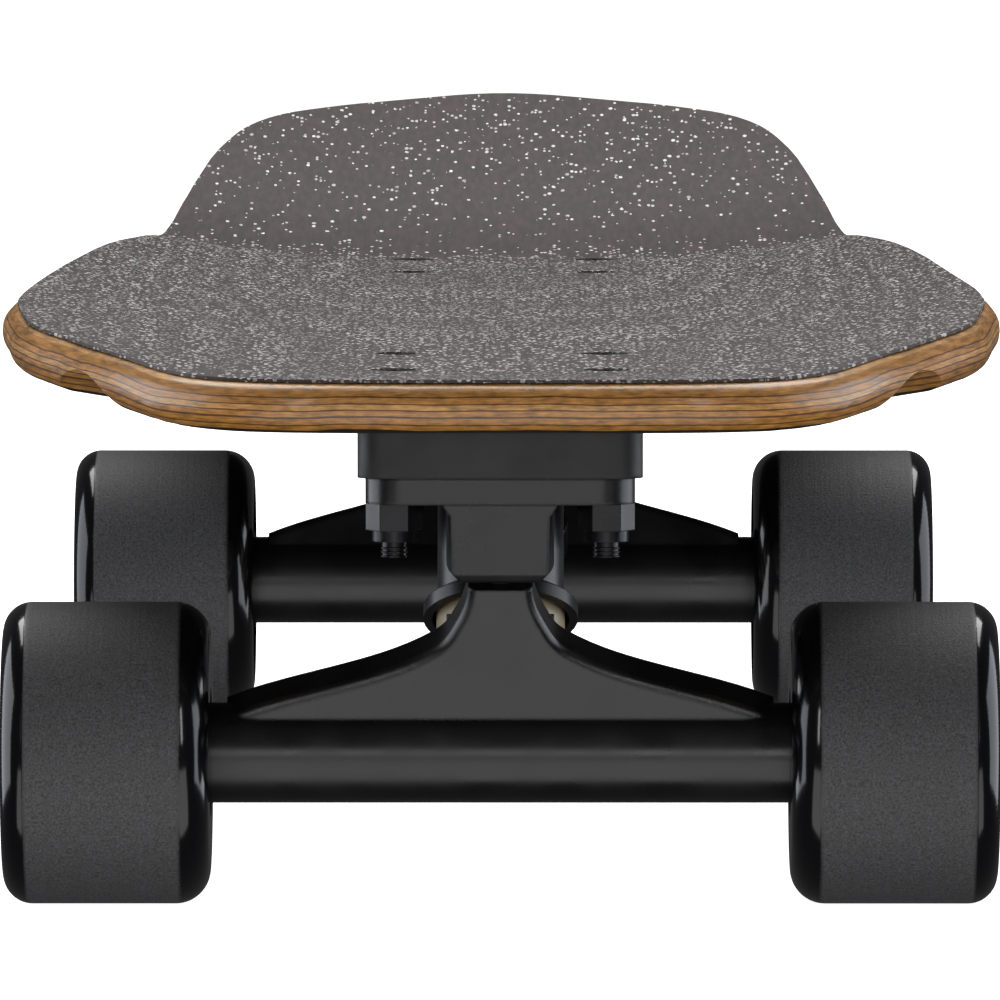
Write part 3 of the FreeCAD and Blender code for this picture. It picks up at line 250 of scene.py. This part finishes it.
# Cast polyurethane, clear amber cream: soft gloss.
CREAM_URETHANE = Coating("cast_cream_polyurethane", "A6977A", "8F8166", 0.38, 1.2, 0.01)
# Glass-filled nylon, injection moulded against a spark-eroded mould: matte and finely pitted.
MOULDED_NYLON = Coating("moulded_glass_filled_nylon", "141416", "1A1A1C", 0.55, 0.45, 0.03)
# ABS polished by its mould, under a clear film: a wet gloss.
GLOSS_ABS = Coating("polished_black_abs", "0F0F11", "141417", 0.16, 3.0, 0.003, coat=0.3)
# Moulded silicone: soft and almost matte.
SILICONE = Coating("soft_black_silicone", "101010", "171717", 0.5, 0.8, 0.01)
# Brass turned from bar: warm, with a satin shine.
TURNED_BRASS = Coating("turned_brass", "C29A52", "A67F3E", 0.3, 0.4, 0.005, metallic=1.0)
# Aluminium milled and left bare: pale and satin.
MILLED_ALUMINIUM = Coating("milled_aluminium", "B4B6B8", "9EA0A3", 0.34, 0.5, 0.006, metallic=1.0)
# Aluminium turned and anodised black: dark, with a metallic sheen.
ANODISED_BLACK = Coating("black_anodised_turned_aluminium", "1A1B1E", "232428", 0.32, 0.35, 0.005, metallic=0.8)
# Aluminium foil laminated with nylon: silvery and slightly wrinkled.
FOIL_POUCH = Coating("laminated_foil_pouch", "9DA1A5", "888C91", 0.35, 4.0, 0.05, metallic=0.9)
# Green resin screened over a glass-fibre board: satin.
CIRCUIT_RESIN = Coating("green_solder_mask", "16402A", "1D4D33", 0.35, 1.0, 0.02)
# Stamped steel sheets stacked along the axle: fine lines round the rim.
ELECTRICAL_STEEL = Coating("stacked_electrical_steel", "5A5D61", "6B6E73", 0.4, 0.35, 0.02, metallic=1.0,
                           stretch=(6.0, 1.0, 1.0))
# Copper wire under clear enamel, wound in layers: bright turns side by side.
ENAMELLED_COPPER = Coating("enamelled_copper_wire", "B4622E", "95481E", 0.25, 0.9, 0.08, metallic=1.0,
                           stretch=(6.0, 1.0, 1.0))
# Sintered magnets plated with nickel: bright and smooth.
NICKEL_MAGNET = Coating("nickel_plated_magnet", "A9AAAA", "979898", 0.18, 2.0, 0.004, metallic=1.0)
# Nylon hub moulded black: matte.
HUB_NYLON = Coating("moulded_black_nylon_hub", "17171A", "1E1E21", 0.5, 0.6, 0.02)


@dataclass(frozen=True)
class DeckForm:
    """The deck's curve: the numbers that fix the height of its underside, in metres."""

    underside: float = 0.0947
    thickness: float = 0.0097
    drop: float = 0.003
    dish_flat: float = 0.020
    dish_rate: float = 1.19
    dish_gain: float = 0.6
    nose_lift: float = 0.0009
    kick_start: float = 0.181
    kick_blend: float = 0.070
    kick_slope: float = 0.2528

    def through(self, tree: Tree) -> Socket:
        """Height above the deck's underside as a share of its thickness, as a node value."""
        split = tree.add("SeparateXYZ", {0: tree.add("TexCoord").outputs["Object"]})
        x, y, z = split.outputs
        drop = tree.span(y, -0.2405, 0.1215, 0.0, self.drop, smooth=True)
        side = tree.math("MAXIMUM", tree.math("SUBTRACT", tree.math("ABSOLUTE", x), self.dish_flat), 0.0)
        fade = tree.span(y, -0.343, -0.303, 0.0, self.dish_rate, smooth=True)
        rise = tree.span(y, -0.150, 0.110, 0.0, self.dish_gain, smooth=True)
        fall = tree.span(y, 0.140, 0.220, 1.0, 0.0, smooth=True)
        deeper = tree.math("ADD", 1.0, tree.math("MULTIPLY", rise, fall))
        dish = tree.math("MULTIPLY", tree.math("MULTIPLY", side, side), tree.math("MULTIPLY", fade, deeper))
        tip = tree.span(y, -0.343, -0.300, 1.0, 0.0)
        nose = tree.math("MULTIPLY", tree.math("MULTIPLY", tip, tip), self.nose_lift)
        past = tree.math("MAXIMUM", tree.math("SUBTRACT", y, self.kick_start), 0.0)
        near = tree.math("MINIMUM", past, self.kick_blend)
        curve = tree.math("DIVIDE", tree.math("MULTIPLY", near, near), 2 * self.kick_blend)
        straight = tree.math("MAXIMUM", tree.math("SUBTRACT", past, self.kick_blend), 0.0)
        kick = tree.math("MULTIPLY", tree.math("ADD", curve, straight), self.kick_slope)
        lift = tree.math("SUBTRACT", tree.math("ADD", tree.math("ADD", dish, nose), kick), drop)
        height = tree.math("SUBTRACT", tree.math("SUBTRACT", z, self.underside), lift)
        return tree.math("DIVIDE", height, self.thickness)


@dataclass(frozen=True)
class LaminatedWood:
    """Seven bamboo and maple veneers pressed together, sanded and lacquered.

    The cut edge shows pale and dark plies; the lacquer gives it a wet gloss.
    """

    form: DeckForm = DeckForm()
    grain_mm: float = 0.9

    def build(self) -> bpy.types.Material:
        """Make the material.

        Returns:
            The finished material.
        """
        tree = Tree("lacquered_bamboo_and_maple_plies")
        gold, pale, amber, line, dark = (linear(c) for c in ("A8732F", "C48F4C", "B47B38", "5E3814", "20160B"))
        wander = tree.span(tree.noise(26.0, 3.0), 0.3, 0.7, -0.03, 0.03)
        level = tree.math("ADD", self.form.through(tree), wander)
        plies = tree.ramp(level, [
            (0.0, dark), (0.06, gold), (0.15, line), (0.175, gold), (0.29, line), (0.33, amber), (0.43, line),
            (0.46, pale), (0.56, line), (0.585, amber), (0.7, line), (0.73, gold), (0.9, pale),
        ], constant=True)
        streaks = tree.noise(self.grain_mm, 5.0, (0.35, 0.06, 1.0))
        pores = tree.noise(0.45, 3.0, (0.12, 0.12, 1.6))
        shade = tree.math("ADD", tree.span(streaks, 0.3, 0.7, 0.55, 1.12),
                          tree.span(pores, 0.35, 0.65, -0.22, 0.16))
        tone = tree.add("CombineColor", {0: shade, 1: shade, 2: shade}).outputs[0]
        colour = tree.mix(1.0, plies, tone, "MULTIPLY")
        rough = tree.span(streaks, 0.3, 0.7, 0.36, 0.5)
        normal = tree.bump(streaks, 0.03)
        return tree.finish(Base_Color=colour, Roughness=rough, Normal=normal, Coat_Weight=0.35,
                           Coat_Roughness=0.16, Coat_IOR=1.5)


@dataclass(frozen=True)
class FritGrip:
    """Crushed glass broadcast into clear lacquer over dark-stained wood.

    It lies thick on the flat of the deck, thin at the foot of the kicktail and thicker again at its tip. Each
    grain is drawn longer than wide, as a standing grain looks from low down.
    """

    grain_mm: float = 1.05
    grain_length: float = 0.42
    kick_from: float = 0.150
    kick_full: float = 0.215

    def build(self) -> bpy.types.Material:
        """Make the material.

        Returns:
            The finished material.
        """
        tree = Tree("glass_frit_in_clear_lacquer_on_stained_wood")
        y = tree.add("SeparateXYZ", {0: tree.add("TexCoord").outputs["Object"]}).outputs[1]
        kick = tree.span(y, self.kick_from, self.kick_full, 0.0, 1.0, smooth=True)
        tip = tree.span(y, 0.24, 0.335, 0.0, 1.0)
        streaks = tree.noise(1.3, 5.0, (1.0, 0.03, 1.0))
        stain = tree.mix(tree.span(streaks, 0.35, 0.65, 0.0, 1.0), linear("1F1413"), linear("3A2926"))
        cells = tree.add("TexVoronoi", {"Vector": tree.place((1.0, self.grain_length, 1.0)),
                                        "Scale": 1000.0 / self.grain_mm})
        pick = tree.add("SeparateColor", {0: cells.outputs["Color"]})
        wanted = tree.math("ADD", tree.span(kick, 0.0, 1.0, 1.0, 0.1), tree.math("MULTIPLY", tip, 0.16))
        thin = tree.math("MULTIPLY", tree.span(streaks, 0.4, 0.6, 0.75, 1.1), wanted)
        chosen = tree.math("LESS_THAN", pick.outputs[0], thin)
        reach = tree.span(pick.outputs[1], 0.0, 1.0, 0.3, 0.52)
        inside = tree.math("SUBTRACT", reach, cells.outputs["Distance"])
        grain = tree.math("MULTIPLY", tree.span(inside, 0.0, 0.06, 0.0, 1.0), chosen)
        dull = tree.ramp(pick.outputs[2], [(0.0, linear("6B6666")), (0.55, linear("9B9696")),
                                           (1.0, linear("D5D2D1"))])
        clear = tree.ramp(pick.outputs[2], [(0.0, linear("A49C98")), (1.0, linear("F0ECEA"))])
        colour = tree.mix(grain, stain, tree.mix(kick, dull, clear))
        height = tree.math("MULTIPLY", tree.span(inside, -0.1, 0.3, 0.0, 1.0), chosen)
        normal = tree.bump(height, 0.22)
        return tree.finish(Base_Color=colour, Roughness=0.6, Normal=normal, Coat_Weight=0.12,
                           Coat_Roughness=0.35)


@dataclass(frozen=True)
class WheelUrethane:
    """Cast black polyurethane: glossy from the mould on its shoulders, ground to a matte tread."""

    axle_y: float
    tread_radius: float = 29.35

    def build(self) -> bpy.types.Material:
        """Make the material.

        Returns:
            The finished material.
        """
        tree = Tree("cast_black_polyurethane")
        split = tree.add("SeparateXYZ", {0: tree.add("TexCoord").outputs["Object"]})
        x = split.outputs[0]
        y = tree.math("SUBTRACT", split.outputs[1], self.axle_y * MM)
        z = tree.math("SUBTRACT", split.outputs[2], 29.5 * MM)
        radius = tree.math("SQRT", tree.math("ADD", tree.math("MULTIPLY", y, y), tree.math("MULTIPLY", z, z)))
        tread = tree.span(radius, self.tread_radius * MM, (self.tread_radius + 0.12) * MM, 0.0, 1.0)
        grit = tree.noise(0.42, 5.0)
        bands = tree.add("TexNoise", {"Vector": tree.add("CombineXYZ", {0: x}).outputs[0], "Scale": 700.0,
                                      "Detail": 4.0}).outputs["Fac"]
        ground = tree.mix(tree.span(grit, 0.3, 0.72, 0.0, 1.0), linear("1B1B1C"), linear("525254"))
        worn = tree.mix(tree.span(bands, 0.4, 0.7, 0.0, 0.45), ground, linear("353536"))
        colour = tree.mix(tread, linear("060608"), worn)
        rough = tree.span(tread, 0.0, 1.0, 0.13, 0.62)
        ridges = tree.math("MULTIPLY", tree.math("ADD", grit, tree.math("MULTIPLY", bands, 0.7)), tread)
        normal = tree.bump(ridges, 0.14)
        return tree.finish(Base_Color=colour, Roughness=rough, Normal=normal)


def dress(node: str, material: bpy.types.Material) -> None:
    """Give a CAD node a material."""
    mesh = bpy.data.objects[node].data
    mesh.materials.clear()
    mesh.materials.append(material)


class Dresser:
    """Gives every CAD node the finish of the real piece."""

    def __init__(self) -> None:
        """Build each finish once."""
        self.made: dict[str, bpy.types.Material] = {}

    def of(self, finish: Coating) -> bpy.types.Material:
        """The material of a finish, built on first use."""
        if finish.name not in self.made:
            self.made[finish.name] = finish.build()
        return self.made[finish.name]

    def dress_all(self) -> None:
        """Dress every node of the frame."""
        wood, grip = LaminatedWood().build(), FritGrip().build()
        dress("deck_board", wood)
        dress("grip_coat", grip)
        groups: list[tuple[Coating, Iterable[str]]] = [
            (POWDER_COAT, ("front_baseplate", "rear_baseplate", "front_hanger", "rear_hanger")),
            (BLACK_STEEL, ("truck_bolts", "truck_nuts", "kingpins", "kingpin_nuts", "board_side_washers",
                           "road_side_washers", "enclosure_screws", "front_axle_nuts", "rear_axle_nuts")),
            (ZINC_STEEL, ("front_axle", "rear_axle", "front_axle_washers", "rear_axle_washers",
                          "front_bearing_inner_rings", "rear_bearing_inner_rings", "charge_cap_pin",
                          "front_left_bearing_rings", "front_right_bearing_rings", "rear_left_bearing_rings",
                          "rear_right_bearing_rings")),
            (PRESSED_RUBBER, ("front_riser_pad", "rear_riser_pad", "enclosure_gasket", "pivot_cups")),
            (CREAM_URETHANE, ("front_board_bushing", "rear_board_bushing", "front_road_bushing",
                              "rear_road_bushing")),
            (MOULDED_NYLON, ("enclosure_tray", "charge_port", "power_button_guide", "cable_glands")),
            (SILICONE, ("charge_port_cap",)),
            (GLOSS_ABS, ("power_button",)),
            (TURNED_BRASS, ("enclosure_inserts",)),
            (MILLED_ALUMINIUM, ("controller_heat_plate", "front_bearing_spacers")),
            (ANODISED_BLACK, ("rear_left_motor_can", "rear_right_motor_can", "rear_left_motor_cover",
                              "rear_right_motor_cover")),
            (FOIL_POUCH, ("battery_cells",)),
            (CIRCUIT_RESIN, ("battery_board", "motor_controller")),
            (ELECTRICAL_STEEL, ("motor_stators",)),
            (ENAMELLED_COPPER, ("motor_coils",)),
            (NICKEL_MAGNET, ("rear_left_magnets", "rear_right_magnets")),
            (HUB_NYLON, ("front_left_core", "front_right_core")),
        ]
        for finish, names in groups:
            for name in names:
                dress(name, self.of(finish))
        for end in End:
            urethane = WheelUrethane(end.value).build()
            for side in ("left", "right"):
                dress("%s_%s_tyre" % (end.name.lower(), side), urethane)
        LOG.info("dressed %d nodes", len(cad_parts))


# --------------------------------------------------------------------------- fine detail
@dataclass
class BoltThreads:
    """The turns of thread that show on the truck bolts below their nuts."""

    bolt_radius: float = 2.4 * MM
    crest: float = 0.26 * MM
    pitch: float = 0.8 * MM
    half_pitch_x: float = 41.3 / 2 * MM
    half_pitch_y: float = 27.0 * MM
    pattern_y: tuple[float, float] = (-267.5 * MM, 148.5 * MM)
    rear_drop: float = 3.0 * MM

    def places(self) -> list[tuple[float, float, float]]:
        """Middle of each turn, worked out from the bolts' and nuts' heights."""
        found = []
        nuts_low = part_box("truck_nuts")[0][2]
        bolts_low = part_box("truck_bolts")[0][2]
        for index, middle in enumerate(self.pattern_y):
            low = bolts_low + (self.rear_drop if index == 0 else 0.0)
            turns = int((nuts_low - low) / self.pitch)
            for n in range(turns):
                z = low + self.crest + n * self.pitch
                found += [(sx * self.half_pitch_x, middle + sy * self.half_pitch_y, z)
                          for sx in (-1, 1) for sy in (-1, 1)]
        return found

    def build(self, steel: bpy.types.Material) -> bpy.types.Object:
        """Make the turns as one piece that rides on the board.

        Args:
            steel: The bolts' material.
        Returns:
            The piece.
        """
        rings = []
        bpy.ops.object.select_all(action="DESELECT")
        for place in self.places():
            bpy.ops.mesh.primitive_torus_add(
                location=place, major_radius=self.bolt_radius, minor_radius=self.crest,
                major_segments=28, minor_segments=6)
            rings.append(bpy.context.object)
        for ring in rings:
            ring.select_set(True)
        bpy.context.view_layer.objects.active = rings[0]
        bpy.ops.object.join()
        bpy.ops.object.transform_apply(location=True, rotation=True, scale=True)
        bpy.ops.object.shade_smooth()
        piece = bpy.context.object
        piece.name = piece.data.name = "truck_bolt_threads"
        piece.data.materials.append(steel)
        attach(piece, "board")
        return piece


# --------------------------------------------------------------------------- studio
@dataclass
class Studio:
    """White sweep, soft boxes and the camera."""

    camera_at: tuple[float, float, float] = (0.00445, -3.020, 0.26833)
    camera_down: float = 3.961
    camera_left: float = 0.0947
    lens: float = 505.4
    sensor: float = 36.0
    nearest: float = 0.1
    farthest: float = 100.0
    floor_size: float = 60.0
    floor_glow: float = 0.97
    world_grey: float = 0.12

    def soft_box(self, name: str, at: Sequence[float], to: Sequence[float], size: tuple[float, float],
                 power: float, colour: Sequence[float] = (1, 1, 1)) -> None:
        """Place a rectangular soft box.

        Args:
            name: Name of the light.
            at: Its place in metres.
            to: The point it faces.
            size: Its width and height in metres.
            power: Its power in watts.
            colour: Its linear colour.
        """
        bpy.ops.object.light_add(type="AREA", location=at)
        lamp = bpy.context.object
        lamp.name = name
        lamp.data.shape = "RECTANGLE"
        lamp.data.size, lamp.data.size_y = size
        lamp.data.energy = power
        lamp.data.color = colour
        lamp.rotation_euler = (Vector(to) - Vector(at)).to_track_quat("-Z", "Y").to_euler()

    def build(self) -> None:
        """Make the floor, the lights, the surroundings and the camera."""
        bpy.ops.object.select_all(action="DESELECT")
        bpy.ops.mesh.primitive_plane_add(size=self.floor_size)
        floor = bpy.context.object
        floor.name = "floor"
        tree = Tree("white_sweep")
        floor.data.materials.append(tree.finish(
            Base_Color=linear("F4F4F4"), Roughness=0.9, Specular_IOR_Level=0.0,
            Emission_Color=(1, 1, 1, 1), Emission_Strength=self.floor_glow))
        floor.visible_diffuse = floor.visible_glossy = floor.visible_shadow = False
        self.soft_box("top_box", (0.0, 0.9, 2.2), (0.0, 0.0, 0.1), (2.4, 1.6), 62.0)
        self.soft_box("left_wall", (-1.7, 0.1, 0.35), (0.0, -0.1, 0.05), (1.8, 1.6), 24.0, (0.9, 0.94, 1.0))
        self.soft_box("right_wall", (1.7, 0.1, 0.35), (0.0, -0.1, 0.05), (1.8, 1.6), 24.0, (0.9, 0.94, 1.0))
        self.soft_box("left_strip", (-0.75, -1.7, 0.75), (0.0, -0.25, 0.05), (0.16, 0.8), 2.6)
        self.soft_box("right_strip", (0.75, -1.7, 0.75), (0.0, -0.25, 0.05), (0.16, 0.8), 2.6)
        self.soft_box("front_fill", (0.0, -3.3, 0.25), (0.0, -0.2, 0.06), (1.6, 0.5), 9.0)
        self.soft_box("table_glow", (0.0, -1.5, -0.9), (0.0, -0.2, 0.03), (3.0, 1.6), 22.0)
        world = bpy.data.worlds.new("studio")
        world.use_nodes = True
        background = world.node_tree.nodes["Background"]
        background.inputs["Color"].default_value = (0.5, 0.5, 0.52, 1.0)
        background.inputs["Strength"].default_value = self.world_grey
        bpy.context.scene.world = world
        aim = (math.radians(90 - self.camera_down), 0, math.radians(self.camera_left))
        bpy.ops.object.camera_add(location=self.camera_at, rotation=aim)
        camera = bpy.context.object
        camera.data.sensor_width = self.sensor
        camera.data.lens = self.lens
        camera.data.clip_start, camera.data.clip_end = self.nearest, self.farthest
        bpy.context.scene.camera = camera
        bpy.context.scene.view_settings.view_transform = "Standard"


def main() -> None:
    """Build the visual model and its studio."""
    logging.basicConfig(level=logging.INFO)
    dresser = Dresser()
    dresser.dress_all()
    threads = BoltThreads().build(dresser.of(BLACK_STEEL))
    LOG.info("built %s", threads.name)
    Studio().build()


if __name__ == "__main__":
    main()
